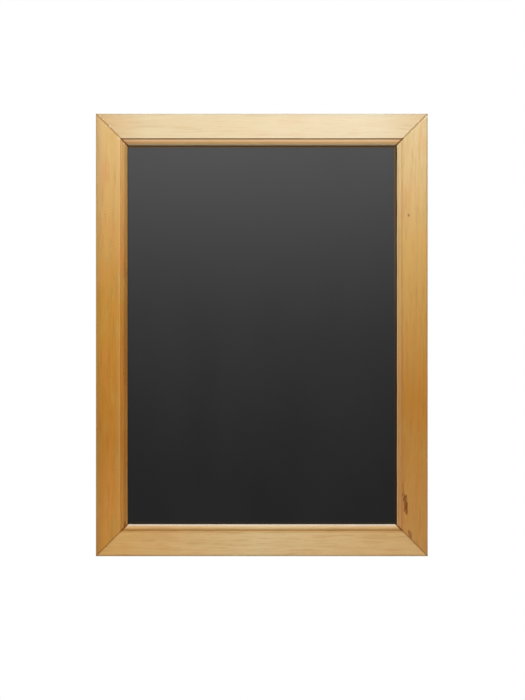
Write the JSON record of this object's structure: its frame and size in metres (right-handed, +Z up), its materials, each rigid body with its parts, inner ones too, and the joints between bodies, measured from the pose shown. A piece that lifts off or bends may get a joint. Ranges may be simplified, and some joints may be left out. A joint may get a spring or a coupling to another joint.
{
  "type": "wall chalkboard",
  "caption": "Upright wall chalkboard: black writing surface in a mitred, lacquered pine frame with a quirked bead inside, hung by D-ring hangers on its back.",
  "frame": {"origin": "on the wall plane, midway between the two hooks that the hanger rings hang on", "axes": "+X to the right as the reader sees the board, +Y into the wall, away from the reader, +Z up"},
  "size_m": [0.6, 0.0235, 0.8],
  "materials": {
    "pale_pine": "satin",
    "honey_pine": "satin",
    "chalk_laminate": "matte",
    "fibreboard": "matte",
    "zinc_steel": "satin",
    "rubber": "matte"
  },
  "bodies": {
    "board": {"top_rail": "pale_pine", "bottom_rail": "pale_pine", "left_stile": "honey_pine", "right_stile": "honey_pine", "chalk_face": "chalk_laminate", "core_board": "fibreboard", "panel_point_bottom_1": "zinc_steel", "panel_point_bottom_2": "zinc_steel", "panel_point_bottom_3": "zinc_steel", "panel_point_left_1": "zinc_steel", "panel_point_left_2": "zinc_steel", "panel_point_left_3": "zinc_steel", "panel_point_left_4": "zinc_steel", "panel_point_top_1": "zinc_steel", "panel_point_top_2": "zinc_steel", "panel_point_top_3": "zinc_steel", "panel_point_right_1": "zinc_steel", "panel_point_right_2": "zinc_steel", "panel_point_right_3": "zinc_steel", "panel_point_right_4": "zinc_steel", "corner_nail_bottom_left_outer": "zinc_steel", "corner_nail_bottom_left_inner": "zinc_steel", "corner_nail_bottom_right_outer": "zinc_steel", "corner_nail_bottom_right_inner": "zinc_steel", "corner_nail_top_left_outer": "zinc_steel", "corner_nail_top_left_inner": "zinc_steel", "corner_nail_top_right_outer": "zinc_steel", "corner_nail_top_right_inner": "zinc_steel", "left_hanger_strap": "zinc_steel", "right_hanger_strap": "zinc_steel", "left_hanger_screw_upper": "zinc_steel", "left_hanger_screw_lower": "zinc_steel", "right_hanger_screw_upper": "zinc_steel", "right_hanger_screw_lower": "zinc_steel", "bumper_bottom_left": "rubber", "bumper_bottom_right": "rubber", "bumper_top_left": "rubber", "bumper_top_right": "rubber"},
    "left_ring": {"left_hanger_ring": "zinc_steel"},
    "right_ring": {"right_hanger_ring": "zinc_steel"}
  },
  "joints": [
    {"name": "left_ring_swing", "type": "hinge", "parent": "board", "child": "left_ring", "pos_m": [-0.2755, -0.00275, -0.01376], "axis": [-1, 0, 0], "range_deg": [0, 179]},
    {"name": "right_ring_swing", "type": "hinge", "parent": "board", "child": "right_ring", "pos_m": [0.2755, -0.00275, -0.01376], "axis": [-1, 0, 0], "range_deg": [0, 179]}
  ]
}
